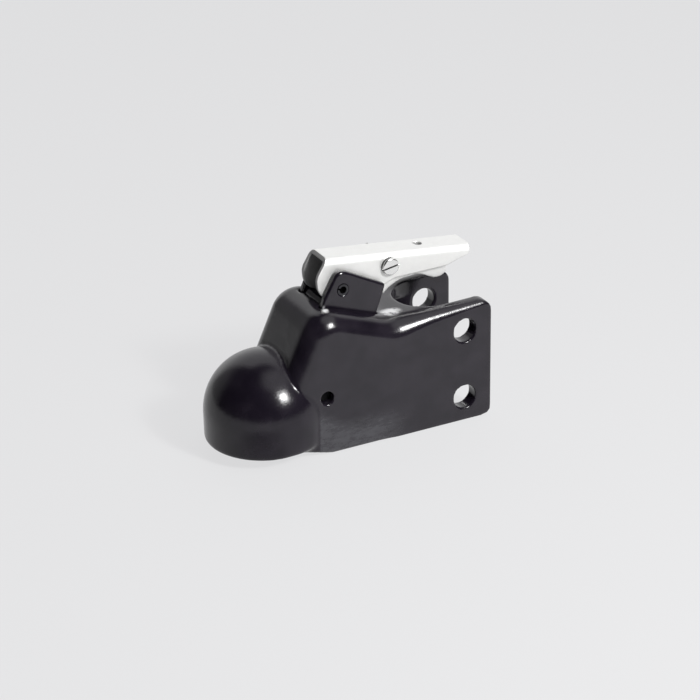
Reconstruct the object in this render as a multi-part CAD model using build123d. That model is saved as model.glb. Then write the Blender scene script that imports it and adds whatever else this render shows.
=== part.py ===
from build123d import *
from math import cos, radians, sin, tan
import os

# Trailer coupling head for a 2 5/16 in tow ball, in millimetres.
# +X points forward to the ball, +Y to the left, +Z up. The origin is the centre of the ball in its socket.
# Heights named "up" are counted from the foot of the side walls.

# Ball socket and dome
BALL_DIAMETER = 58.74
SOCKET_CLEARANCE = 0.63
DOME_WALL = 12.5
RIM_BELOW_BALL = 19.4
RIM_ROUND = 2.5

# Cast body
BALL_UP = 28.0
BODY_WIDTH = 70.0
WALL = 11.0
REAR_X = -158.8
REAR_TOP_UP = 88.8
REAR_TOP_ROUND = 9.0
REAR_EDGE_ROUND = 3.6
TAIL_EDGE_ROUND = 9.6
TAIL_BLEND = 22.0
REAR_FOOT_ROUND = 6.5
DIP_X = -83.4
DIP_UP = 86.8
DIP_ROUND = 24.0
DIP_FLAT = 1.5
INCLINE_ANGLE = 19.5
SLOPE_ANGLE = 65.0
PEAK_AHEAD = 22.8
PEAK_ROUND = 20.0
EDGE_ROUND = 15.0
RAMP_X = -33.0
PLATE = 10.0
NOTCH_FRONT_X = -102.4
NOTCH_EDGE = 0.8
NOTCH_FLARE = 45.0
RIB = 10.0
RIB_UP = 3.0
HOOD_UP = 56.0

# Bolt holes of the side walls, and the guide pin
BOLT_X = -137.65
BOLT_LOW_UP = 18.0
BOLT_SPACING = 50.8
BOLT_HOLE = 17.5
GUIDE_PIN_AHEAD = 52.4
GUIDE_PIN_UP = 42.8
GUIDE_PIN_DIAMETER = 9.5
GUIDE_PIN_RECESS = 6.0
GUIDE_PIN_EDGE = 0.8

# Latch: the lever pin stands above the incline, and the wedge slides square to the incline
PIN_ALONG = 37.2
PIN_RISE = 13.1
LIFT = 8.0
SWING = 90.0
WEDGE_REAR = 31.3
WEDGE_FRONT = 11.4
CLEVIS_REAR_TOP = 8.2
CLEVIS_FRONT_TOP = 12.6
CLEVIS_SHOULDER = 8.6
CLEVIS_LEAN = 3.7
CLEVIS_ROUND = 6.0
CLEVIS_EDGE = 1.2
CHEEK = 5.2
SADDLE = 14.0
SADDLE_FRONT = -8.0
LEDGE = 9.3
TOE_BELOW_BALL = 2.9
WEDGE_FOOT_BELOW_BALL = 8.2
HORN_REACH = 21.9
SLOT_AHEAD = 0.8
TONGUE_GAP = 0.4
TONGUE_DROP = 0.6
PAD_REAR = -2.0
PAD_FRONT = 9.5

# Clearances
SEAT_GAP = 0.03
RUN_GAP = 0.05
GUIDE_GAP = 0.3
SIDE_GAP = 0.6
CHEEK_GAP = 0.8
STOP_GAP = 0.4
TRIM_SKIM = 0.02

# Lever pin and bush
LEVER_PIN_DIAMETER = 8.0
LEVER_PIN_BORE = 5.2
LEVER_PIN_SLIT = 1.3
BUSH_WALL = 1.5

# Lever: pressed channel, in lever coordinates (ahead of the pin, above the pin)
LEVER_ANGLE = 6.15
LEVER_WIDTH = 24.0
LEVER_SHEET = 3.0
LEVER_BEND = 5.0
LEVER_TOP = 20.95
LEVER_REAR = -100.4
LEVER_LIP = 7.1
FLANGE_SWEEP = (-83.0, 6.8)
FLANGE_STEP = (-43.0, 2.0)
FLANGE_KNEE = (-34.7, -2.4)
LEVER_FRONT = 10.6
CAM_BASE = 10.0
HEEL_REAR = -4.0
LOCK_HOLE = 6.4
LOCK_HOLE_AHEAD = -64.6

# Trigger and its screw, in lever coordinates
SCREW_AT = (-37.4, 11.5)
SCREW_DIAMETER = 6.35
SCREW_HEAD = 12.4
SCREW_HEAD_HEIGHT = 3.4
SCREW_SLOT = (1.3, 1.9)
SCREW_SLOT_TURN = 16.0
SCREW_END = 1.5
WASHER_DIAMETER = 14.0
WASHER_THICKNESS = 1.2
NUT_FLATS = 11.1
NUT_HEIGHT = 5.6
SLEEVE_WALL = 1.4
TRIGGER_GAP = 0.7
TRIGGER_SHEET = 2.2
TRIGGER_LUG = 5.7
TRIGGER_NOSE = (-37.2, -10.0)
TRIGGER_THROAT = (-51.0, -0.4)
TRIGGER_CROWN = (-65.7, 0.9)
TRIGGER_FINGER = (-75.0, -2.3)
TRIGGER_TAIL = (-84.8, 0.5)
TRIGGER_DEPTH = 6.0

# Springs
WEDGE_SPRING_OUTSIDE = 16.0
WEDGE_SPRING_WIRE = 2.4
WEDGE_SPRING_TURNS = 6
WEDGE_SPRING_AHEAD = 1.2
TRIGGER_SPRING_OUTSIDE = 6.4
TRIGGER_SPRING_WIRE = 0.9
TRIGGER_SPRING_TURNS = 6
TRIGGER_SPRING_AHEAD = -52.0
SPRING_SEAT_GAP = 0.2

# Values worked out from the driving dimensions
socket_radius = BALL_DIAMETER / 2 + SOCKET_CLEARANCE
dome_radius = socket_radius + DOME_WALL
half_width = BODY_WIDTH / 2
half_channel = half_width - WALL
tail_x = DIP_X - DIP_ROUND * tan(radians(INCLINE_ANGLE / 2)) - DIP_FLAT
guide_pin_x = DIP_X + GUIDE_PIN_AHEAD
half_lever = LEVER_WIDTH / 2
cheek_inner = half_lever + CHEEK_GAP
cheek_outer = cheek_inner + CHEEK
half_slot = cheek_outer + CHEEK_GAP
half_tongue = cheek_inner - TONGUE_GAP
half_wedge = half_channel - SIDE_GAP
plate_top = -PIN_RISE
plate_under = plate_top - PLATE
cam_rise = LIFT / radians(SWING)
pad_top = -CAM_BASE - GUIDE_GAP
chamber_rear = -WEDGE_REAR - GUIDE_GAP
slot_front = WEDGE_FRONT + SLOT_AHEAD
guide_pin_radius = GUIDE_PIN_DIAMETER / 2
lever_pin_radius = LEVER_PIN_DIAMETER / 2
bush_radius = lever_pin_radius + RUN_GAP + BUSH_WALL
half_inside = half_lever - LEVER_SHEET
half_trigger = half_inside - TRIGGER_GAP
screw_radius = SCREW_DIAMETER / 2
sleeve_radius = screw_radius + SEAT_GAP + SLEEVE_WALL
FAR = 300.0
ON_FACE = 1e-4


def foot(up):
    """Z of a height counted from the foot of the walls."""
    return up - BALL_UP


# Slide frame: origin at the lever pin, first axis forward along the incline, second square to it
incline_along = Vector(cos(radians(INCLINE_ANGLE)), 0, sin(radians(INCLINE_ANGLE)))
incline_up = Vector(-sin(radians(INCLINE_ANGLE)), 0, cos(radians(INCLINE_ANGLE)))
lever_pin_at = Vector(DIP_X, 0, foot(DIP_UP)) + incline_along * PIN_ALONG + incline_up * PIN_RISE
slide_plane = Plane(origin=lever_pin_at, x_dir=incline_along, z_dir=(0, -1, 0))


def slide_point(x, up):
    """A point of the side view, as (along, across) of the slide frame."""
    away = Vector(x, 0, foot(up)) - lever_pin_at
    return away.dot(incline_along), away.dot(incline_up)


def lever_point(ahead, above):
    """A point of the lever's own frame, as (along, across) of the slide frame."""
    turn = radians(INCLINE_ANGLE - LEVER_ANGLE)
    return ahead * cos(turn) + above * sin(turn), above * cos(turn) - ahead * sin(turn)


guide_along, guide_across = slide_point(guide_pin_x, GUIDE_PIN_UP)
ball_along, ball_across = slide_point(0, BALL_UP)
screw_along, screw_across = lever_point(*SCREW_AT)
wedge_waist = guide_along - guide_pin_radius - GUIDE_GAP
ledge_under = guide_across + guide_pin_radius + STOP_GAP
ledge_top = ledge_under + LEDGE
horn_top = guide_across - guide_pin_radius - LIFT - STOP_GAP
shoulder_top = plate_under - LIFT - STOP_GAP - SIDE_GAP
saddle_top = shoulder_top + SADDLE


def side_sheet(*points):
    """A flat outline in the side view, from (X, height above the foot) points."""
    return make_face(Plane.XZ * Polyline(*[(x, foot(up)) for x, up in points], close=True))


def slide_sheet(*points):
    """A flat outline in the slide frame."""
    return make_face(slide_plane * Polyline(*points, close=True))


def across(sheet, inner, outer):
    """A pair of plates at both sides, from inner to outer half-width, or one block if inner is 0."""
    block = extrude(sheet, amount=outer, both=True)
    if inner > 0:
        block -= extrude(sheet, amount=inner, both=True)
    return block


def slide_box(rear, front, low, high, inner, outer):
    """A box, or a pair of boxes, with its faces along the slide frame."""
    return across(slide_sheet((rear, low), (front, low), (front, high), (rear, high)), inner, outer)


def cross_rod(along, height, radius, start, end):
    """A rod across the part, at a place of the slide frame, from Y start to Y end."""
    circle = slide_plane * Pos(along, height) * Circle(radius)
    return Pos(0, start, 0) * extrude(circle, amount=end - start, dir=(0, 1, 0))


def corner_near(sheet, along, height):
    """The corner of an outline in the slide frame that lies nearest to a place."""
    place = slide_plane.from_local_coords(Vector(along, height))
    return sheet.vertices().sort_by_distance(place)[0]


def dome_turning(radius, depth, edge_round):
    """Half outline of a ball dome with a straight skirt, turned about the ball's upright axis."""
    rim = -depth
    arc = CenterArc((0, 0), radius, 0, 90)
    skirt = Polyline((0, radius), (0, rim), (radius, rim), (radius, 0))
    sheet = make_face(Plane.XZ * (arc + skirt))
    if edge_round > 0:
        rim_corner = sheet.vertices().sort_by_distance((radius, 0, rim))[0]
        sheet = fillet(rim_corner, edge_round)
    return revolve(sheet, Axis.Z)


def hump_block():
    """Front of the body: incline, rounded peak and front slope between the side walls."""
    peak_along = PIN_ALONG + PEAK_AHEAD
    peak_x = DIP_X + peak_along * incline_along.X
    peak_up = DIP_UP + peak_along * incline_along.Z
    slope_foot_x = peak_x + peak_up / tan(radians(SLOPE_ANGLE))
    outline = [(tail_x, 0), (tail_x, DIP_UP), (DIP_X, DIP_UP), (peak_x, peak_up), (slope_foot_x, 0)]
    sheet = side_sheet(*outline)
    sheet = fillet(sheet.vertices().sort_by_distance((peak_x, 0, foot(peak_up)))[0], PEAK_ROUND)
    sheet = fillet(sheet.vertices().sort_by_distance((DIP_X, 0, foot(DIP_UP)))[0], DIP_ROUND)
    block = extrude(sheet, amount=half_width, both=True)
    rims = block.edges().filter_by(lambda e: abs(abs(e.center().Y) - half_width) < ON_FACE)
    rims = rims.filter_by(lambda e: e.center().Z > foot(1) and e.center().X > tail_x + ON_FACE)
    return fillet(rims, EDGE_ROUND)


def tail_section(x, top_up, edge_round):
    """Section through the two side walls, with its top edges rounded."""
    plane = Plane(origin=(x, 0, foot(0)), x_dir=(0, 1, 0), z_dir=(1, 0, 0))
    sheet = plane * Pos(0, top_up / 2) * Rectangle(BODY_WIDTH, top_up)
    return fillet(sheet.vertices().group_by(Axis.Z)[-1], edge_round)


def body_outside():
    """Outer form of the casting: dome, hump and the tail, whose top edges sharpen to the rear."""
    blend_share = TAIL_BLEND / (tail_x - REAR_X)
    blend_up = DIP_UP + (REAR_TOP_UP - DIP_UP) * blend_share
    tail_front = tail_section(tail_x, DIP_UP, EDGE_ROUND)
    tail_blend = tail_section(tail_x - TAIL_BLEND, blend_up, TAIL_EDGE_ROUND)
    tail_rear = tail_section(REAR_X, REAR_TOP_UP, REAR_EDGE_ROUND)
    block = hump_block() + loft([tail_rear, tail_blend, tail_front], ruled=True)
    rim_up = BALL_UP - RIM_BELOW_BALL
    rear_top = REAR_TOP_UP + TRIM_SKIM
    trim = side_sheet(
        (REAR_X, 0),
        (RAMP_X, 0),
        (0, rim_up),
        (FAR, rim_up),
        (FAR, FAR),
        (tail_x, FAR),
        (tail_x, DIP_UP + TRIM_SKIM),
        (REAR_X, rear_top),
    )
    trim = fillet(trim.vertices().sort_by_distance((REAR_X, 0, foot(0)))[0], REAR_FOOT_ROUND)
    trim = fillet(trim.vertices().sort_by_distance((REAR_X, 0, foot(rear_top)))[0], REAR_TOP_ROUND)
    block &= extrude(trim, amount=FAR, both=True)
    return block + dome_turning(dome_radius, RIM_BELOW_BALL, RIM_ROUND)


def latch_chamber():
    """Space in which the wedge slides, behind and above the ball."""
    top_rear = slide_plane.from_local_coords(Vector(chamber_rear, plate_under))
    top_front = slide_plane.from_local_coords(Vector(slot_front, plate_under))
    low_rear = slide_plane.from_local_coords(Vector(chamber_rear, ball_across - BALL_UP))
    toe = slide_plane.from_local_coords(Vector(ball_along - HORN_REACH, ball_across - TOE_BELOW_BALL))
    lean = tan(radians(INCLINE_ANGLE))
    hood_x = max(top_front.X + lean * (top_front.Z - foot(HOOD_UP)), toe.X + SIDE_GAP)
    corners = [top_rear, top_front, (hood_x, 0, foot(HOOD_UP)), (hood_x, 0, foot(-PLATE)), low_rear]
    sheet = make_face(Polyline(*corners, close=True))
    return extrude(sheet, amount=half_channel, both=True, dir=(0, 1, 0))


def tongue_channel():
    """Space between the side walls behind the rib, open to the rear and below."""
    roof_up = DIP_UP - PLATE
    rib_rear = chamber_rear - RIB
    lean = tan(radians(INCLINE_ANGLE))
    _, roof_across = slide_point(DIP_X, roof_up)
    roof_x = slide_plane.from_local_coords(Vector(rib_rear, roof_across)).X
    base_x = roof_x + lean * (roof_up + PLATE)
    sheet = side_sheet((-FAR, -PLATE), (base_x, -PLATE), (roof_x, roof_up), (-FAR, roof_up))
    return across(sheet, 0, half_channel)


def notch_outline(half):
    """Top view of the notch: straight sides to the rear and a half-round front end."""
    centre_x = NOTCH_FRONT_X - half_channel
    straight = Pos((centre_x - FAR) / 2, 0) * Rectangle(FAR + centre_x, 2 * half)
    return Pos(centre_x, 0) * Circle(half) + straight


def tail_notch():
    """Opening in the top between the walls, with a flared rim that follows the top of the tail."""
    opening = Pos(0, 0, foot(DIP_UP - 2 * PLATE)) * extrude(notch_outline(half_channel), amount=FAR)
    fall = (REAR_TOP_UP - DIP_UP) / (REAR_X - tail_x)
    start = Vector(0, 0, foot(DIP_UP) - fall * tail_x - 2 * NOTCH_EDGE)
    flare_plane = Plane(origin=start, x_dir=(1, 0, fall), z_dir=(-fall, 0, 1))
    narrow = flare_plane * notch_outline(half_channel - NOTCH_EDGE)
    return opening + extrude(narrow, amount=4 * NOTCH_EDGE, taper=-NOTCH_FLARE)


def rib_foot_gap():
    """Space under the rib, which ends a little above the feet of the walls."""
    front_x = guide_pin_x
    sheet = side_sheet((-FAR, -PLATE), (front_x, -PLATE), (front_x, RIB_UP), (-FAR, RIB_UP))
    return across(sheet, 0, half_channel)


def top_slot():
    """Opening in the incline for the clevis, left and right of the tongue that carries the cam pad."""
    opening = slide_box(chamber_rear - GUIDE_GAP, slot_front, plate_under - GUIDE_GAP, FAR, 0, half_slot)
    tongue_rear = SADDLE_FRONT + STOP_GAP + SIDE_GAP
    tongue_top = plate_top - TONGUE_DROP
    return opening - slide_box(tongue_rear, FAR, plate_under - PLATE, tongue_top, 0, half_tongue)


def make_coupler_body():
    body = body_outside()
    body -= dome_turning(socket_radius, BALL_UP + PLATE, 0)
    body -= latch_chamber()
    body -= tongue_channel()
    body -= tail_notch()
    body -= rib_foot_gap()
    body -= top_slot()
    body += slide_box(PAD_REAR, PAD_FRONT, plate_top - PLATE / 2, pad_top, 0, half_tongue)
    for up in (BOLT_LOW_UP, BOLT_LOW_UP + BOLT_SPACING):
        along, height = slide_point(BOLT_X, up)
        body -= cross_rod(along, height, BOLT_HOLE / 2, -half_width - PLATE, half_width + PLATE)
    hole = guide_pin_radius + SEAT_GAP
    body -= cross_rod(guide_along, guide_across, hole, -half_width - PLATE, half_width + PLATE)
    return body


def make_guide_pin():
    reach = half_width - GUIDE_PIN_RECESS
    rod = cross_rod(guide_along, guide_across, guide_pin_radius, -reach, reach)
    return chamfer(rod.edges().filter_by(GeomType.CIRCLE), GUIDE_PIN_EDGE)


def clevis_sheet():
    """Side outline of the clevis cheeks, with a rounded front shoulder."""
    sheet = slide_sheet(
        (-WEDGE_REAR, ledge_under),
        (WEDGE_FRONT, ledge_under),
        (WEDGE_FRONT, -CLEVIS_SHOULDER),
        (WEDGE_FRONT - CLEVIS_LEAN, CLEVIS_FRONT_TOP),
        (0, CLEVIS_FRONT_TOP),
        (-WEDGE_REAR, CLEVIS_REAR_TOP),
    )
    return fillet(corner_near(sheet, WEDGE_FRONT - CLEVIS_LEAN, CLEVIS_FRONT_TOP), CLEVIS_ROUND)


def make_latch_wedge():
    cheeks = across(clevis_sheet(), cheek_inner, cheek_outer)
    outer_rims = cheeks.edges().filter_by(lambda e: abs(abs(e.center().Y) - cheek_outer) < ON_FACE)
    above_plate = lever_pin_at + incline_up * plate_top
    outer_rims = outer_rims.filter_by(lambda e: (e.center() - above_plate).dot(incline_up) > 1)
    wedge = chamfer(outer_rims, CLEVIS_EDGE)
    foot_across = ball_across - WEDGE_FOOT_BELOW_BALL
    wedge += slide_box(-WEDGE_REAR, SADDLE_FRONT, shoulder_top - SADDLE, saddle_top, 0, cheek_outer)
    wedge += slide_box(-WEDGE_REAR, wedge_waist, foot_across, shoulder_top, 0, half_wedge)
    wedge += slide_box(wedge_waist - LEDGE, WEDGE_FRONT, ledge_under, ledge_top, 0, cheek_outer)
    horn_front = ball_along - HORN_REACH
    toe = ball_across - TOE_BELOW_BALL
    wedge += slide_box(wedge_waist - LEDGE, horn_front, toe, horn_top, 0, half_wedge)
    wedge -= Sphere(socket_radius)
    hole = lever_pin_radius + SEAT_GAP
    return wedge - cross_rod(0, 0, hole, -half_width, half_width)


def make_lever_pin():
    """Rolled spring pin with an open slit along its front."""
    pin = cross_rod(0, 0, lever_pin_radius, -cheek_outer, cheek_outer)
    pin -= cross_rod(0, 0, LEVER_PIN_BORE / 2, -half_width, half_width)
    slit = slide_box(0, LEVER_PIN_DIAMETER, -LEVER_PIN_SLIT / 2, LEVER_PIN_SLIT / 2, 0, half_width)
    return pin - slit


def cam_point(turn):
    """Point of the heel that bears on the cam pad after the lever has turned by this many radians."""
    reach = CAM_BASE + cam_rise * turn
    return reach * sin(turn) + cam_rise * cos(turn), cam_rise * sin(turn) - reach * cos(turn)


def lever_sheet():
    """Side outline of the lever: straight grip, knee, and a heel whose curve lifts the wedge evenly."""
    cam_steps = 6
    cam = [cam_point(radians(SWING) * step / cam_steps) for step in range(cam_steps + 1)]
    heel = Spline(*cam, tangents=[(1, 0), (0, 1)])
    outline = [
        cam[-1],
        lever_point(LEVER_FRONT, LEVER_TOP),
        lever_point(LEVER_REAR, LEVER_TOP),
        lever_point(LEVER_REAR, LEVER_TOP - LEVER_LIP),
        lever_point(*FLANGE_SWEEP),
        lever_point(*FLANGE_STEP),
        lever_point(*FLANGE_KNEE),
        (HEEL_REAR, -CAM_BASE),
        cam[0],
    ]
    return make_face(slide_plane * (heel + Polyline(*outline)))


def lever_box(rear, front, low, high, half):
    """A box with its faces along the lever's own frame."""
    corners = [(rear, low), (front, low), (front, high), (rear, high)]
    return across(slide_sheet(*[lever_point(*corner) for corner in corners]), 0, half)


def make_lever():
    lever = across(lever_sheet(), 0, half_lever)
    top_rims = lever.edges().filter_by(lambda e: abs(abs(e.center().Y) - half_lever) < ON_FACE)
    longest = top_rims.sort_by(SortBy.LENGTH)[-2:]
    lever = fillet(longest, LEVER_BEND)
    inside = lever_box(-FAR, FAR, -FAR, LEVER_TOP - LEVER_SHEET, half_inside)
    inside_rims = inside.edges().filter_by(lambda e: e.length > FAR).sort_by(Axis.Z)[-2:]
    lever -= fillet(inside_rims, LEVER_BEND - LEVER_SHEET)
    lever -= cross_rod(0, 0, bush_radius + SEAT_GAP, -half_width, half_width)
    lever -= cross_rod(screw_along, screw_across, screw_radius + SEAT_GAP, -half_width, half_width)
    lock_at = slide_plane.from_local_coords(Vector(*lever_point(LOCK_HOLE_AHEAD, LEVER_TOP)))
    lever_up = Vector(-sin(radians(LEVER_ANGLE)), 0, cos(radians(LEVER_ANGLE)))
    lock_plane = Plane(origin=lock_at, z_dir=lever_up)
    return lever - extrude(lock_plane * Circle(LOCK_HOLE / 2), amount=2 * LEVER_SHEET, both=True)


def make_pivot_bush():
    bush = cross_rod(0, 0, bush_radius, -half_lever, half_lever)
    return bush - cross_rod(0, 0, lever_pin_radius + RUN_GAP, -half_width, half_width)


def trigger_sheet():
    """Side outline of the trigger: nose behind the clevis, lug on the screw, waved finger edge."""
    front = -WEDGE_REAR - STOP_GAP
    nose = lever_point(*TRIGGER_NOSE)
    tail = lever_point(*TRIGGER_TAIL)
    edge = Spline(
        nose,
        lever_point(*TRIGGER_THROAT),
        lever_point(*TRIGGER_CROWN),
        lever_point(*TRIGGER_FINGER),
        tail,
    )
    back = Polyline(
        tail,
        lever_point(TRIGGER_TAIL[0], TRIGGER_TAIL[1] + TRIGGER_DEPTH),
        lever_point(TRIGGER_THROAT[0], SCREW_AT[1]),
        (screw_along, screw_across),
        (front, screw_across),
        (front, nose[1]),
        nose,
    )
    return make_face(edge + back)


def make_trigger():
    sheet = trigger_sheet()
    lug = Pos(screw_along, screw_across) * Circle(TRIGGER_LUG)
    trigger = across(slide_plane * (sheet + lug), 0, half_trigger)
    rise = lever_point(0, TRIGGER_SHEET)
    hollow = Pos(*rise) * sheet + lug
    trigger -= across(slide_plane * hollow, 0, half_trigger - TRIGGER_SHEET)
    return trigger - cross_rod(screw_along, screw_across, sleeve_radius + RUN_GAP, -half_width, half_width)


def make_trigger_sleeve():
    half_length = half_inside - SEAT_GAP
    sleeve = cross_rod(screw_along, screw_across, sleeve_radius, -half_length, half_length)
    return sleeve - cross_rod(screw_along, screw_across, screw_radius + SEAT_GAP, -half_width, half_width)


def make_trigger_screw():
    """Slotted screw, with its head on the left flange and its end just through the nut."""
    head_top = half_lever + SCREW_HEAD_HEIGHT
    end = -half_lever - WASHER_THICKNESS - NUT_HEIGHT - SCREW_END
    head = cross_rod(screw_along, screw_across, SCREW_HEAD / 2, half_lever, head_top)
    crown = head.edges().filter_by(GeomType.CIRCLE).sort_by(Axis.Y)[-1]
    screw = fillet(crown, SCREW_HEAD_HEIGHT / 3)
    slot_width, slot_depth = SCREW_SLOT
    slot = Box(2 * SCREW_HEAD, 2 * slot_depth, slot_width)
    place = slide_plane.from_local_coords(Vector(screw_along, screw_across))
    screw -= Pos(place.X, head_top, place.Z) * Rot(0, SCREW_SLOT_TURN - LEVER_ANGLE, 0) * slot
    return screw + cross_rod(screw_along, screw_across, screw_radius, end, half_lever)


def make_trigger_washer():
    face = -half_lever
    washer = cross_rod(screw_along, screw_across, WASHER_DIAMETER / 2, face - WASHER_THICKNESS, face)
    return washer - cross_rod(screw_along, screw_across, screw_radius + SEAT_GAP, -FAR, 0)


def make_trigger_nut():
    face = -half_lever - WASHER_THICKNESS
    flats = RegularPolygon(NUT_FLATS / 2, 6, major_radius=False)
    hexagon = slide_plane * Pos(screw_along, screw_across) * flats
    nut = Pos(0, face, 0) * extrude(hexagon, amount=NUT_HEIGHT, dir=(0, -1, 0))
    corner = NUT_FLATS / 2 / cos(radians(30))
    barrel = cross_rod(screw_along, screw_across, corner, face - NUT_HEIGHT, face)
    nut &= chamfer(barrel.edges().filter_by(GeomType.CIRCLE), corner - NUT_FLATS / 2)
    return nut - cross_rod(screw_along, screw_across, screw_radius + SEAT_GAP, -FAR, 0)


def coil(outside, wire, turns, height):
    """Coil spring that stands on the XY plane."""
    rise = height - wire
    path = Pos(0, 0, wire / 2) * Helix(rise / turns, rise, (outside - wire) / 2)
    section = Plane(origin=path @ 0, z_dir=path % 0) * Circle(wire / 2)
    return sweep(section, path=path, is_frenet=True)


def make_wedge_spring():
    """Spring between the ledge of the wedge and the underside of the cam tongue."""
    low = ledge_top + SPRING_SEAT_GAP
    high = plate_under - SPRING_SEAT_GAP
    middle = max(wedge_waist, SADDLE_FRONT) + WEDGE_SPRING_AHEAD + WEDGE_SPRING_OUTSIDE / 2
    seat = slide_plane.from_local_coords(Vector(middle, low))
    spring = coil(WEDGE_SPRING_OUTSIDE, WEDGE_SPRING_WIRE, WEDGE_SPRING_TURNS, high - low)
    return Plane(origin=seat, z_dir=incline_up) * spring


def make_trigger_spring():
    """Spring between the floor of the trigger and the underside of the lever."""
    floor = max(TRIGGER_THROAT[1], TRIGGER_CROWN[1]) + TRIGGER_SHEET
    low = floor + SPRING_SEAT_GAP
    high = LEVER_TOP - LEVER_SHEET - SPRING_SEAT_GAP
    seat = slide_plane.from_local_coords(Vector(*lever_point(TRIGGER_SPRING_AHEAD, low)))
    lever_up = Vector(-sin(radians(LEVER_ANGLE)), 0, cos(radians(LEVER_ANGLE)))
    spring = coil(TRIGGER_SPRING_OUTSIDE, TRIGGER_SPRING_WIRE, TRIGGER_SPRING_TURNS, high - low)
    return Plane(origin=seat, z_dir=lever_up) * spring


nodes = {
    "coupler_body": make_coupler_body,
    "guide_pin": make_guide_pin,
    "latch_wedge": make_latch_wedge,
    "lever_pin": make_lever_pin,
    "lever": make_lever,
    "pivot_bush": make_pivot_bush,
    "trigger": make_trigger,
    "trigger_sleeve": make_trigger_sleeve,
    "trigger_screw": make_trigger_screw,
    "trigger_washer": make_trigger_washer,
    "trigger_nut": make_trigger_nut,
    "wedge_spring": make_wedge_spring,
    "trigger_spring": make_trigger_spring,
}

os.makedirs("parts", exist_ok=True)
for name, make in nodes.items():
    export_step(make(), f"parts/{name}.step")
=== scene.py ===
from math import cos, hypot, radians, sin

import bmesh
import bpy
from mathutils import Matrix, Vector


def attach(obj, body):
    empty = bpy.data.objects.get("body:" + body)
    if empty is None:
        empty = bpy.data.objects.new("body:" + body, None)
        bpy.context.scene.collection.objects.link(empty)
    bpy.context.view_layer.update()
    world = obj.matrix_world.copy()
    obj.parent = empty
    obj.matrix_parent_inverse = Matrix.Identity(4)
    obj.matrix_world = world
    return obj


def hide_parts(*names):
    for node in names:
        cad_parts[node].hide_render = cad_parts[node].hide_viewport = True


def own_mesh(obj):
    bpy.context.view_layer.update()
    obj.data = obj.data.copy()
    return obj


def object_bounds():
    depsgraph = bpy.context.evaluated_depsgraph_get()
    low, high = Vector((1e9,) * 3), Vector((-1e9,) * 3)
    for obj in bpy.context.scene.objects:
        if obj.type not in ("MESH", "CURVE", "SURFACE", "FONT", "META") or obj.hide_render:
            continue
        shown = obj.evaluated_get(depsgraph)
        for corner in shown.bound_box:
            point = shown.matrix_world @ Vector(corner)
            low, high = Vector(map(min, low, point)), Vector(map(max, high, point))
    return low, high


# Trailer coupling head: enamelled casting, zinc-plated lever and trigger, and the studio around it.
# Lengths are in metres. +X points forward to the ball, +Y to the left, +Z up.
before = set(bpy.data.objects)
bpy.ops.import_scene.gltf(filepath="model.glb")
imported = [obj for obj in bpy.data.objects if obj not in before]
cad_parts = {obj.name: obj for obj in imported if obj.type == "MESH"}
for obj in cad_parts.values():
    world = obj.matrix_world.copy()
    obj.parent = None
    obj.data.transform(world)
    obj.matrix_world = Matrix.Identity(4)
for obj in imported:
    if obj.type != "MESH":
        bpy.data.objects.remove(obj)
cad_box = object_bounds()

# Softened edges: size of the skin's cells, how often it is eased, and how far each time
CASTING_CELL = 0.00112
CASTING_PASSES = 5
BLOCK_CELL = 0.0007
BLOCK_PASSES = 4
SHEET_CELL = 0.00042
SHEET_PASSES = 4
EASE_SHARE = 0.5
WELD_REACH = 1e-6

# Sloped foot between the dome's rim and the walls, where the skin is eased further
FOOT_LOW = Vector((-0.085, -0.06, -0.06))
FOOT_HIGH = Vector((0.014, 0.06, 0.003))
FOOT_FADE = 0.014
FOOT_PASSES = 14

# Skin of the casting: grain and mould waves, rise of the waves over the grain, and range of the tint
CAST_GRAIN = 1100.0
CAST_WAVE = 75.0
WAVE_RISE = 3.0
TINT_RANGE = (0.35, 0.68)
CAST_BUMP = (0.35, 0.00012)

# Enamel: paint between two shades, thinner paint on the edges, and its gloss
ENAMEL_IOR = 1.54
PAINT_DARK = (0.0074, 0.0056, 0.0098, 1.0)
PAINT_LIGHT = (0.0128, 0.0102, 0.0156, 1.0)
PAINT_THIN = (0.030, 0.030, 0.032, 1.0)
PAINT_ROUGH = (0.12, 0.24)
EDGE_START = 0.54
EDGE_END = 0.62
EDGE_SPOTS = 450.0
WALL_SHINE = 0.50

# Dome and its foot, where the enamel is a little duller
DOME_REACH = 0.0435
DOME_SHINE = 0.35

# Painted shade on the cam pad under the lever's heel, between the clevis cheeks: a copy of the enamel
# with weaker reflection
HEEL_SHADE_AT = Vector((-0.0455, 0.0, 0.0745))
HEEL_SHADE_HALF = 0.0122
HEEL_SHADE_REACH = 0.0086
HEEL_SHADE_SHINE = 0.20

# Painted highlights: light metal-grey colour painted in two spots to stand in for highlights, one on
# the web behind the clevis and one beside the slot of the wedge
WEB_GLINT_AT = (-0.0890, 0.0165, 0.0588)
WEB_GLINT_REACH = 0.0085
WEB_GLINT_SHAPE = (0.85, 1.15, 1.0)
SLOT_GLINT_AT = (-0.0372, 0.0212, 0.0738)
SLOT_GLINT_REACH = 0.0036
SLOT_GLINT_SHAPE = (1.25, 0.75, 1.0)
GLINT_CORE = 0.35
GLINT_BLOTS = 240.0
GLINT_RANGE = (0.26, 0.50)
GLINT_GREY = (0.72, 0.72, 0.73, 1.0)
GLINT_ROUGH = 0.3

# Handling dust low on the walls: it starts behind the dome, drops lower and fades towards the rear
DUST_LOW = -0.004
DUST_HIGH = 0.012
DUST_FRONT = -0.0235
DUST_FRONT_FADE = 0.0015
DUST_DROP = 0.013
DUST_DROP_REACH = 0.020
DUST_REAR = -0.100
DUST_REAR_FADE = 0.035
DUST_SLANT = radians(-34)
SMEAR_SHAPE = (0.55, 1.0, 1.4)
SMEAR_SCALE = 210.0
SMEAR_ROUGH = 0.72
SMEAR_RANGE = (0.24, 0.72)
DUST_GREY = (0.058, 0.058, 0.065, 1.0)
DUST_ROUGH = 0.2

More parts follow.
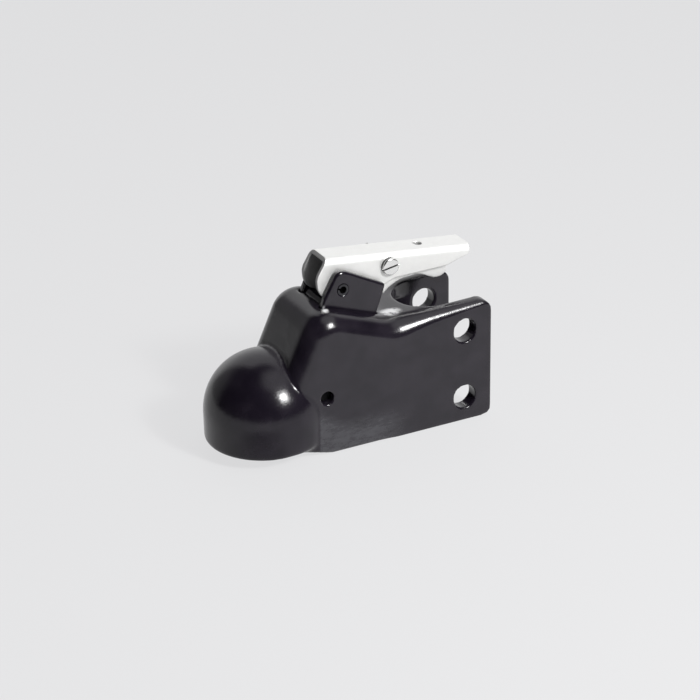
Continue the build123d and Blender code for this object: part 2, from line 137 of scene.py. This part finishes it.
# Steel: lines from the rolls, clouds of plate, and for each finish two shades and its roughness
ROLL_LINES = 60.0
ROLL_STRETCH = (1.0, 40.0, 40.0)
PLATE_CLOUDS = 160.0
CLOUD_ROUGH = 0.6
STEEL_BUMP = (0.25, 0.00006)
SHEET_ZINC = ((0.88, 0.88, 0.865, 1.0), (0.96, 0.96, 0.945, 1.0), (0.48, 0.62))
TURNED_ZINC = ((0.66, 0.67, 0.67, 1.0), (0.80, 0.80, 0.79, 1.0), (0.22, 0.34))
BLACK_OXIDE = ((0.010, 0.010, 0.011, 1.0), (0.022, 0.022, 0.023, 1.0), (0.45, 0.60))
PIN_STEEL = ((0.045, 0.045, 0.05, 1.0), (0.08, 0.08, 0.085, 1.0), (0.30, 0.42))
SPRING_STEEL = ((0.10, 0.10, 0.105, 1.0), (0.17, 0.17, 0.175, 1.0), (0.30, 0.42))

# Lever: its directions, the room in its channel, and the painted shade in there and on its cut front
LEVER_PIN = Vector((-0.0527066, 0.0, 0.0835662))
LEVER_UP = Vector((-0.107131, 0.0, 0.994245))
LEVER_FORWARD = Vector((0.994245, 0.0, 0.107131))
CHANNEL_HALF = 0.0094
CHANNEL_HALF_FADE = 0.0008
CHANNEL_TOP = 0.01835
CHANNEL_TOP_FADE = 0.0010
CUT_FACING = (0.45, 0.85)
CUT_SHADE = 0.8
LEVER_DARK = (0.87, 0.87, 0.855, 1.0)
LEVER_LIGHT = (0.94, 0.94, 0.925, 1.0)
LEVER_ROUGH = (0.50, 0.64)
CHANNEL_SHADE_GREY = (0.42, 0.42, 0.42, 1.0)
CHANNEL_SHADE_ROUGH = 0.25

# Head of the trigger screw: painted shade from its foot up to the floor of its slot, for the dark
# slot and the dark reflections round the head
HEAD_FOOT = 0.0120
HEAD_FOOT_FADE = 0.0004
HEAD_SHADE_TOP = 0.0146
HEAD_SHADE_TOP_FADE = 0.0008
HEAD_DARK = (0.82, 0.82, 0.81, 1.0)
HEAD_LIGHT = (0.94, 0.94, 0.93, 1.0)
HEAD_ROUGH = 0.24
SCREW_SHADE = (0.07, 0.07, 0.07, 1.0)

# Camera
CAMERA_AT = Vector((0.54232, 1.20933, 0.67231))
CAMERA_AIM = Vector((-0.060, 0.0, 0.0206))
CAMERA_ROLL = radians(-1.29)
LENS = 111.56
SENSOR = 36.0
SHIFT_X = 0.0107
SHIFT_Y = 0.0172

# Key light: direction in degrees, azimuth from +X towards +Y, and its bright core in a wide veil
KEY_AZIMUTH = 108.5
KEY_ELEVATION = 37.5
KEY_CORE = {"distance": 1.5, "width": 0.15, "height": 0.18, "power": 15.0}
KEY_VEIL = {"distance": 1.6, "width": 0.50, "height": 0.56, "power": 13.0}

# Floor: pale paper, and the shade beside the dome that the enamel reflects
FLOOR_SIZE = 12.0
FLOOR_GAP = 0.0002
FLOOR_PAPER = (0.8, 0.8, 0.8, 1.0)
FLOOR_ROUGH = 0.9
PALE = (0.775, 0.775, 0.785, 1.0)
EVEN_SHARE = 0.88
SHADE_AT = (0.050, 0.085)
SHADE_REACH = 0.075
SHADE_TONE = 0.30

# Room: pale wall behind the object, haze low beside it, and glow overhead, each with soft edges
DARK_ROOM = (0.012, 0.012, 0.013, 1.0)
BACK_WALL = (1.02, 1.02, 1.03, 1.0)
WALL_WAY = (-0.602, -0.799, 0.0)
WALL_SIDE = (0.45, 0.75)
WALL_TOP = (0.96, 0.86)
HAZE = 0.34
HAZE_TOP = (0.85, 0.35)
HAZE_SIDE = (-0.45, -0.75)
TOP_WAY = (-0.241, 0.287, 0.927)
TOP_SIDE = (0.85, 0.985)
TOP_GLOW = 0.95


def add(tree, kind, sockets=None, **settings):
    """Adds a shader node. Each socket gets a value, or a link from another node's output."""
    made = tree.nodes.new(kind)
    for name, value in settings.items():
        setattr(made, name, value)
    for name, value in (sockets or {}).items():
        socket = made.inputs[name]
        if isinstance(value, bpy.types.NodeSocket):
            tree.links.new(value, socket)
        else:
            socket.default_value = value
    return made


def feed(tree, node, links):
    """Links outputs to the named inputs of a node."""
    for name, output in links.items():
        tree.links.new(output, node.inputs[name])


def object_place(tree):
    """Place on the object."""
    return add(tree, "ShaderNodeTexCoord").outputs["Object"]


def maths(tree, operation, *values):
    """Result of an operation on values."""
    return add(tree, "ShaderNodeMath", dict(enumerate(values)), operation=operation).outputs[0]


def vectors(tree, operation, *values):
    """Result of an operation on vectors: a value for a length or a product, or else a vector."""
    made = add(tree, "ShaderNodeVectorMath", dict(enumerate(values)), operation=operation)
    plain = operation in ("LENGTH", "DISTANCE", "DOT_PRODUCT")
    return made.outputs["Value" if plain else "Vector"]


def ramp(tree, value, start, end, low=0.0, high=1.0, soft=False):
    """Low where a value is at its start, high where it is at its end, and between them a ramp."""
    sockets = {"Value": value, "From Min": start, "From Max": end, "To Min": low, "To Max": high}
    bend = "SMOOTHSTEP" if soft else "LINEAR"
    return add(tree, "ShaderNodeMapRange", sockets, interpolation_type=bend).outputs[0]


def noise(tree, place, scale, detail, roughness=0.5):
    """Noise between 0 and 1."""
    sockets = {"Vector": place, "Scale": scale, "Detail": detail, "Roughness": roughness}
    return add(tree, "ShaderNodeTexNoise", sockets).outputs["Fac"]


def mixed(tree, factor, first, second):
    """Colour between two colours."""
    sockets = {"Factor": factor, 6: first, 7: second}
    return add(tree, "ShaderNodeMix", sockets, data_type="RGBA").outputs[2]


def bumped(tree, height, strength, distance):
    """Normal of a surface with a fine relief."""
    sockets = {"Height": height, "Strength": strength, "Distance": distance}
    return add(tree, "ShaderNodeBump", sockets).outputs[0]


def new_group(name, inputs, outputs):
    """An empty shader node group with its inputs, values or vectors, and its outputs, all values."""
    tree = bpy.data.node_groups.new(name, "ShaderNodeTree")
    for label, value in inputs.items():
        kind = "NodeSocketVector" if isinstance(value, tuple) else "NodeSocketFloat"
        socket = tree.interface.new_socket(label, in_out="INPUT", socket_type=kind)
        socket.default_value = value
    for label in outputs:
        tree.interface.new_socket(label, in_out="OUTPUT", socket_type="NodeSocketFloat")
    return tree, tree.nodes.new("NodeGroupInput").outputs, tree.nodes.new("NodeGroupOutput")


def place_group(tree, group, **values):
    """Places a shared group in a material with its own values."""
    made = tree.nodes.new("ShaderNodeGroup")
    made.node_tree = group
    for name, value in values.items():
        made.inputs[name].default_value = value
    return made.outputs


def cast_skin_group():
    """Skin of a painted sand casting: fine grain under the enamel, slow waves from the mould."""
    inputs = {"Grain": CAST_GRAIN, "Wave": CAST_WAVE}
    tree, given, result = new_group("cast skin", inputs, ["Height", "Gloss", "Tint"])
    place = object_place(tree)
    grain = noise(tree, place, given["Grain"], detail=3.0)
    wave = noise(tree, place, given["Wave"], detail=2.0)
    height = maths(tree, "MULTIPLY_ADD", wave, WAVE_RISE, grain)
    tint = ramp(tree, wave, *TINT_RANGE)
    feed(tree, result, {"Height": height, "Gloss": grain, "Tint": tint})
    return tree


def rolled_grain_group():
    """Rolled and plated sheet: long faint lines from the rolls, and cloudy patches of plate."""
    inputs = {"Lines": ROLL_LINES, "Clouds": PLATE_CLOUDS}
    tree, given, result = new_group("rolled grain", inputs, ["Height", "Gloss", "Tint"])
    place = object_place(tree)
    drawn = add(tree, "ShaderNodeMapping", {"Vector": place, "Scale": ROLL_STRETCH}).outputs[0]
    lines = noise(tree, drawn, given["Lines"], detail=4.0)
    clouds = noise(tree, place, given["Clouds"], detail=3.0, roughness=CLOUD_ROUGH)
    feed(tree, result, {"Height": lines, "Gloss": clouds, "Tint": clouds})
    return tree


def rubbed_edge_group():
    """Mask of outer edges, broken up by a fine noise."""
    tree, given, result = new_group("rubbed edge", {"Start": EDGE_START, "End": EDGE_END}, ["Mask"])
    bend = add(tree, "ShaderNodeNewGeometry").outputs["Pointiness"]
    edge = ramp(tree, bend, given["Start"], given["End"])
    spots = noise(tree, object_place(tree), EDGE_SPOTS, detail=4.0)
    feed(tree, result, {"Mask": maths(tree, "MULTIPLY", edge, spots)})
    return tree


def painted_glint_group():
    """Mask of a round spot, broken into blots, where a light colour is painted to stand in for a
    highlight.
    """
    inputs = {"Centre": WEB_GLINT_AT, "Shape": WEB_GLINT_SHAPE, "Reach": WEB_GLINT_REACH}
    tree, given, result = new_group("painted glint", inputs, ["Mask"])
    place = object_place(tree)
    from_spot = vectors(tree, "SUBTRACT", place, given["Centre"])
    away = vectors(tree, "LENGTH", vectors(tree, "MULTIPLY", from_spot, given["Shape"]))
    core = maths(tree, "MULTIPLY", given["Reach"], GLINT_CORE)
    near = ramp(tree, away, given["Reach"], core, soft=True)
    blots = ramp(tree, noise(tree, place, GLINT_BLOTS, detail=4.0), *GLINT_RANGE)
    feed(tree, result, {"Mask": maths(tree, "MULTIPLY", near, blots)})
    return tree


def foot_dust_group():
    """Mask of the handling dust low on the walls behind the dome, in slanting smears."""
    tree, given, result = new_group("foot dust", {"Low": DUST_LOW, "High": DUST_HIGH}, ["Mask"])
    place = object_place(tree)
    parts = add(tree, "ShaderNodeSeparateXYZ", {0: place}).outputs
    drop = ramp(tree, parts["X"], DUST_FRONT, DUST_FRONT - DUST_DROP_REACH, high=DUST_DROP)
    level = maths(tree, "ADD", parts["Z"], drop)
    low = ramp(tree, level, given["High"], given["Low"], soft=True)
    behind = ramp(tree, parts["X"], DUST_FRONT, DUST_FRONT - DUST_FRONT_FADE)
    ahead = ramp(tree, parts["X"], DUST_REAR, DUST_REAR + DUST_REAR_FADE, soft=True)
    zone = maths(tree, "MULTIPLY", low, maths(tree, "MULTIPLY", behind, ahead))
    slant = {"Vector": place, "Rotation": (0.0, DUST_SLANT, 0.0), "Scale": SMEAR_SHAPE}
    slanted = add(tree, "ShaderNodeMapping", slant).outputs[0]
    smears = noise(tree, slanted, SMEAR_SCALE, detail=7.0, roughness=SMEAR_ROUGH)
    spread = ramp(tree, smears, *SMEAR_RANGE)
    feed(tree, result, {"Mask": maths(tree, "MULTIPLY", zone, spread)})
    return tree


cast_skin = cast_skin_group()
rolled_grain = rolled_grain_group()
rubbed_edge = rubbed_edge_group()
painted_glint = painted_glint_group()
foot_dust = foot_dust_group()


def blank_material(name, shader_values):
    """A material with one Principled shader and its constant values."""
    material = bpy.data.materials.new(name)
    material.use_nodes = True
    tree = material.node_tree
    tree.nodes.clear()
    shader = add(tree, "ShaderNodeBsdfPrincipled", shader_values)
    add(tree, "ShaderNodeOutputMaterial", {"Surface": shader.outputs["BSDF"]})
    return material, tree, shader


def black_enamel(name, shine):
    """Glossy black enamel on the casting, thinner along its edges, with dust and two painted
    highlight spots.
    """
    material, tree, shader = blank_material(name, {"IOR": ENAMEL_IOR, "Specular IOR Level": shine})
    skin = place_group(tree, cast_skin, Grain=CAST_GRAIN, Wave=CAST_WAVE)
    edge = place_group(tree, rubbed_edge, Start=EDGE_START, End=EDGE_END)["Mask"]
    dust = place_group(tree, foot_dust, Low=DUST_LOW, High=DUST_HIGH)["Mask"]
    # light grey spots on the web and beside the slot are painted highlights
    web_glint = place_group(tree, painted_glint, Centre=WEB_GLINT_AT, Shape=WEB_GLINT_SHAPE, Reach=WEB_GLINT_REACH)["Mask"]
    slot_glint = place_group(tree, painted_glint, Centre=SLOT_GLINT_AT, Shape=SLOT_GLINT_SHAPE, Reach=SLOT_GLINT_REACH)["Mask"]
    glints = maths(tree, "MAXIMUM", web_glint, slot_glint)
    colour = mixed(tree, skin["Tint"], PAINT_DARK, PAINT_LIGHT)
    for mask, shade in ((edge, PAINT_THIN), (dust, DUST_GREY), (glints, GLINT_GREY)):
        colour = mixed(tree, mask, colour, shade)
    rough = ramp(tree, skin["Gloss"], 0.0, 1.0, *PAINT_ROUGH)
    for mask, rise in ((glints, GLINT_ROUGH), (dust, DUST_ROUGH)):
        rough = maths(tree, "MULTIPLY_ADD", mask, rise, rough)
    relief = bumped(tree, skin["Height"], *CAST_BUMP)
    feed(tree, shader, {"Base Color": colour, "Roughness": rough, "Normal": relief})
    return material


def steel_finish(name, dark, light, roughness):
    """Plated, oiled or blackened steel, with faint lines from the rolls and cloudy patches."""
    material, tree, shader = blank_material(name, {"Metallic": 1.0})
    grain = place_group(tree, rolled_grain, Lines=ROLL_LINES, Clouds=PLATE_CLOUDS)
    colour = mixed(tree, grain["Tint"], dark, light)
    rough = ramp(tree, grain["Gloss"], 0.0, 1.0, *roughness)
    relief = bumped(tree, grain["Height"], *STEEL_BUMP)
    feed(tree, shader, {"Base Color": colour, "Roughness": rough, "Normal": relief})
    return material


def channel_shade_mask(tree):
    """Painted shade inside the channel of the pressed lever and on its cut front edges: 1 there, 0 on
    its outside.
    """
    place = object_place(tree)
    side = add(tree, "ShaderNodeSeparateXYZ", {0: place}).outputs["Y"]
    wide = maths(tree, "ABSOLUTE", side)
    between = ramp(tree, wide, CHANNEL_HALF + CHANNEL_HALF_FADE, CHANNEL_HALF)
    above = vectors(tree, "DOT_PRODUCT", vectors(tree, "SUBTRACT", place, LEVER_PIN), LEVER_UP)
    under = ramp(tree, above, CHANNEL_TOP + CHANNEL_TOP_FADE, CHANNEL_TOP)
    facing = add(tree, "ShaderNodeTexCoord").outputs["Normal"]
    forward = vectors(tree, "DOT_PRODUCT", facing, LEVER_FORWARD)
    cut = ramp(tree, forward, *CUT_FACING, high=CUT_SHADE)
    return maths(tree, "MAXIMUM", maths(tree, "MULTIPLY", between, under), cut)


def lever_zinc():
    """Bright zinc on the outside of the lever, with painted shade, rougher, inside its channel and on
    its cut front.
    """
    material, tree, shader = blank_material("lever zinc", {"Metallic": 1.0})
    grain = place_group(tree, rolled_grain, Lines=ROLL_LINES, Clouds=PLATE_CLOUDS)
    # painted shade inside the channel and on the cut front
    channel_shade = channel_shade_mask(tree)
    bright = mixed(tree, grain["Tint"], LEVER_DARK, LEVER_LIGHT)
    colour = mixed(tree, channel_shade, bright, CHANNEL_SHADE_GREY)
    rough = ramp(tree, grain["Gloss"], 0.0, 1.0, *LEVER_ROUGH)
    rough = maths(tree, "MULTIPLY_ADD", channel_shade, CHANNEL_SHADE_ROUGH, rough)
    relief = bumped(tree, grain["Height"], *STEEL_BUMP)
    feed(tree, shader, {"Base Color": colour, "Roughness": rough, "Normal": relief})
    return material


def screw_zinc():
    """Turned zinc with painted shade in the screw's slot and round the foot of its head."""
    material, tree, shader = blank_material("screw zinc", {"Metallic": 1.0, "Roughness": HEAD_ROUGH})
    side = add(tree, "ShaderNodeSeparateXYZ", {0: object_place(tree)}).outputs["Y"]
    # painted shade in the slot and round the foot of the head
    below = ramp(tree, side, HEAD_SHADE_TOP, HEAD_SHADE_TOP - HEAD_SHADE_TOP_FADE)
    above = ramp(tree, side, HEAD_FOOT - HEAD_FOOT_FADE, HEAD_FOOT)
    grain = place_group(tree, rolled_grain, Lines=ROLL_LINES, Clouds=PLATE_CLOUDS)
    zinc = mixed(tree, grain["Tint"], HEAD_DARK, HEAD_LIGHT)
    colour = mixed(tree, maths(tree, "MULTIPLY", below, above), zinc, SCREW_SHADE)
    feed(tree, shader, {"Base Color": colour})
    return material


def add_object(name, data):
    """An object in the scene."""
    made = bpy.data.objects.new(name, data)
    bpy.context.scene.collection.objects.link(made)
    return made


def set_finish(mesh, material):
    """Gives a whole mesh one finish."""
    mesh.materials.clear()
    mesh.materials.append(material)


def shade_smooth(mesh):
    """Lets the faces of a mesh run into each other."""
    for face in mesh.polygons:
        face.use_smooth = True


def softened(node, name, body, cell, passes, material):
    """A copy of a CAD node with its edges eased, as blasting, deburring and paint leave them."""
    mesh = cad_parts[node].data.copy()
    mesh.materials.clear()
    work = bmesh.new()
    work.from_mesh(mesh)
    bmesh.ops.remove_doubles(work, verts=work.verts, dist=WELD_REACH)
    work.to_mesh(mesh)
    work.free()
    piece = add_object(name, mesh)
    skin = piece.modifiers.new("skin", "REMESH")
    skin.mode = "VOXEL"
    skin.voxel_size = cell
    ease = piece.modifiers.new("ease", "SMOOTH")
    ease.factor = EASE_SHARE
    ease.iterations = passes
    bpy.context.view_layer.update()
    evaluated = piece.evaluated_get(bpy.context.evaluated_depsgraph_get())
    eased = bpy.data.meshes.new_from_object(evaluated)
    piece.modifiers.clear()
    piece.data = eased
    shade_smooth(eased)
    set_finish(eased, material)
    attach(piece, body)
    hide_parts(node)
    return piece


def ease_zone(piece, low, high, fade, passes):
    """Eases the skin inside a box further, less near its sides, so that sloped edges run straight."""
    work = bmesh.new()
    work.from_mesh(piece.data)
    depths = []
    for vert in work.verts:
        sides = [min(vert.co[i] - low[i], high[i] - vert.co[i]) for i in range(3)]
        depths.append((vert, min(sides)))
    for step in range(passes):
        zone = [vert for vert, depth in depths if depth > fade * (step + 1) / passes]
        bmesh.ops.smooth_vert(work, verts=zone, factor=EASE_SHARE,
                              use_axis_x=True, use_axis_y=True, use_axis_z=True)
    work.to_mesh(piece.data)
    work.free()


def short_spring(node, name, body, material):
    """A copy of a coil that rides on its body in place of the CAD node."""
    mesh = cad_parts[node].data.copy()
    shade_smooth(mesh)
    set_finish(mesh, material)
    piece = add_object(name, mesh)
    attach(piece, body)
    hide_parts(node)
    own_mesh(piece)


def on_dome(point):
    """True on the dome and its foot."""
    return Vector((point.x, point.y, max(point.z, 0.0))).length < DOME_REACH


def under_heel(point):
    """True on the cam pad under the lever's heel, where the enamel is dimmed as painted shade."""
    away = hypot(point.x - HEEL_SHADE_AT.x, point.z - HEEL_SHADE_AT.z)
    return abs(point.y) < HEEL_SHADE_HALF and away < HEEL_SHADE_REACH


def finish_part(piece, material, belongs):
    """Gives the faces that belong to one part of a piece a finish of their own."""
    mesh = piece.data
    mesh.materials.append(material)
    slot = len(mesh.materials) - 1
    for face in mesh.polygons:
        if belongs(face.center):
            face.material_index = slot


def finish_node(node, material):
    """Gives a CAD node that stays as it is its finish."""
    set_finish(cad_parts[node].data, material)


enamel = black_enamel("black enamel", WALL_SHINE)
dome_enamel = black_enamel("dome enamel", DOME_SHINE)
# copy of the enamel with weaker reflection: painted shade under the lever's heel
heel_shade_enamel = black_enamel("heel shade enamel", HEEL_SHADE_SHINE)
sheet_zinc = steel_finish("sheet zinc", *SHEET_ZINC)
turned_zinc = steel_finish("turned zinc", *TURNED_ZINC)
black_oxide = steel_finish("black oxide", *BLACK_OXIDE)
pin_steel = steel_finish("pin steel", *PIN_STEEL)
spring_steel = steel_finish("spring steel", *SPRING_STEEL)

cast_head = softened("coupler_body", "cast_head", "housing", CASTING_CELL, CASTING_PASSES, enamel)
ease_zone(cast_head, FOOT_LOW, FOOT_HIGH, FOOT_FADE, FOOT_PASSES)
finish_part(cast_head, dome_enamel, on_dome)
# faces under the lever's heel take the painted shade
finish_part(cast_head, heel_shade_enamel, under_heel)
wedge_block = softened("latch_wedge", "wedge_block", "wedge", BLOCK_CELL, BLOCK_PASSES, enamel)
# faces under the lever's heel take the painted shade
finish_part(wedge_block, heel_shade_enamel, under_heel)
softened("lever", "pressed_lever", "lever", SHEET_CELL, SHEET_PASSES, lever_zinc())
softened("trigger", "pressed_trigger", "trigger", SHEET_CELL, SHEET_PASSES, sheet_zinc)
finish_node("trigger_screw", screw_zinc())
finish_node("guide_pin", black_oxide)
for turned in ("trigger_washer", "trigger_nut", "trigger_sleeve", "pivot_bush"):
    finish_node(turned, turned_zinc)
finish_node("lever_pin", pin_steel)
short_spring("wedge_spring", "latch_coil", "housing",
             spring_steel)
short_spring("trigger_spring", "trigger_coil", "lever",
             spring_steel)


def make_camera():
    """Camera that looks down on the dome and the left wall, with a slight roll."""
    data = bpy.data.cameras.new("camera")
    data.sensor_width = SENSOR
    data.lens = LENS
    data.shift_x = SHIFT_X
    data.shift_y = SHIFT_Y
    camera = add_object("camera", data)
    view = (CAMERA_AIM - CAMERA_AT).normalized()
    level_right = view.cross(Vector((0, 0, 1))).normalized()
    level_up = level_right.cross(view)
    right = level_right * cos(CAMERA_ROLL) + level_up * sin(CAMERA_ROLL)
    up = level_up * cos(CAMERA_ROLL) - level_right * sin(CAMERA_ROLL)
    turn = Matrix((right, up, -view)).transposed().to_4x4()
    camera.matrix_world = Matrix.Translation(CAMERA_AT) @ turn
    bpy.context.scene.camera = camera


def key_light(name, distance, width, height, power):
    """A soft lamp in the direction of the key light that looks at the object."""
    data = bpy.data.lights.new(name, "AREA")
    data.shape = "RECTANGLE"
    data.size = width
    data.size_y = height
    data.energy = power
    lamp = add_object(name, data)
    azimuth = radians(KEY_AZIMUTH)
    elevation = radians(KEY_ELEVATION)
    flat = cos(elevation)
    away = Vector((flat * cos(azimuth), flat * sin(azimuth), sin(elevation)))
    turn = away.to_track_quat("Z", "Y").to_matrix().to_4x4()
    lamp.matrix_world = Matrix.Translation(CAMERA_AIM + away * distance) @ turn


def floor_paper(low):
    """Pale paper, mostly one even tone where it is seen or reflected, and clear from below."""
    paper = {"Base Color": FLOOR_PAPER, "Roughness": FLOOR_ROUGH}
    material, tree, shader = blank_material("floor paper", paper)
    path = add(tree, "ShaderNodeLightPath").outputs
    seen = maths(tree, "MAXIMUM", path["Is Camera Ray"], path["Is Glossy Ray"])
    share = maths(tree, "MULTIPLY", seen, EVEN_SHARE)
    away = vectors(tree, "DISTANCE", object_place(tree), (*SHADE_AT, low))
    shade = ramp(tree, away, 0.0, SHADE_REACH, low=SHADE_TONE, soft=True)
    tone = maths(tree, "MAXIMUM", shade, path["Is Camera Ray"])
    even = add(tree, "ShaderNodeEmission", {"Color": PALE, "Strength": tone}).outputs[0]
    lit = {0: share, 1: shader.outputs[0], 2: even}
    above = add(tree, "ShaderNodeMixShader", lit).outputs[0]
    below = add(tree, "ShaderNodeBsdfTransparent").outputs[0]
    side = add(tree, "ShaderNodeNewGeometry").outputs["Backfacing"]
    both = add(tree, "ShaderNodeMixShader", {0: side, 1: above, 2: below}).outputs[0]
    output = next(node for node in tree.nodes if node.type == "OUTPUT_MATERIAL")
    feed(tree, output, {"Surface": both})
    return material


def make_floor():
    """Floor just under the wall feet."""
    mesh = bpy.data.meshes.new("floor")
    half = FLOOR_SIZE / 2
    low = cad_box[0].z - FLOOR_GAP
    corners = [(-half, -half, low), (half, -half, low), (half, half, low), (-half, half, low)]
    mesh.from_pydata(corners, [], [(0, 1, 2, 3)])
    mesh.materials.append(floor_paper(low))
    floor = add_object("floor", mesh)


def make_world():
    """Studio room: a pale wall behind the object, a soft glow overhead, dark elsewhere."""
    world = bpy.data.worlds.new("studio")
    bpy.context.scene.world = world
    world.use_nodes = True
    tree = world.node_tree
    tree.nodes.clear()
    way = add(tree, "ShaderNodeTexCoord").outputs["Generated"]
    parts = add(tree, "ShaderNodeSeparateXYZ", {0: way}).outputs
    level = vectors(tree, "NORMALIZE", vectors(tree, "MULTIPLY", way, (1.0, 1.0, 0.0)))
    across = ramp(tree, vectors(tree, "DOT_PRODUCT", level, WALL_WAY), *WALL_SIDE, soft=True)
    under = ramp(tree, parts["Z"], *WALL_TOP, soft=True)
    wall = maths(tree, "MULTIPLY", across, under)
    low = ramp(tree, parts["Z"], *HAZE_TOP, soft=True)
    right = ramp(tree, parts["Y"], *HAZE_SIDE, high=HAZE, soft=True)
    haze = maths(tree, "MULTIPLY", low, right)
    upward = vectors(tree, "DOT_PRODUCT", way, TOP_WAY)
    glow = ramp(tree, upward, *TOP_SIDE, high=TOP_GLOW, soft=True)
    light = maths(tree, "MAXIMUM", maths(tree, "MAXIMUM", wall, haze), glow)
    room = mixed(tree, light, DARK_ROOM, BACK_WALL)
    seen = add(tree, "ShaderNodeLightPath").outputs["Is Camera Ray"]
    shown = mixed(tree, seen, room, PALE)
    background = add(tree, "ShaderNodeBackground", {"Color": shown, "Strength": 1.0})
    add(tree, "ShaderNodeOutputWorld", {"Surface": background.outputs[0]})


make_camera()
key_light("key core", **KEY_CORE)
key_light("key veil", **KEY_VEIL)
make_floor()
make_world()
bpy.context.scene.view_settings.view_transform = "Standard"
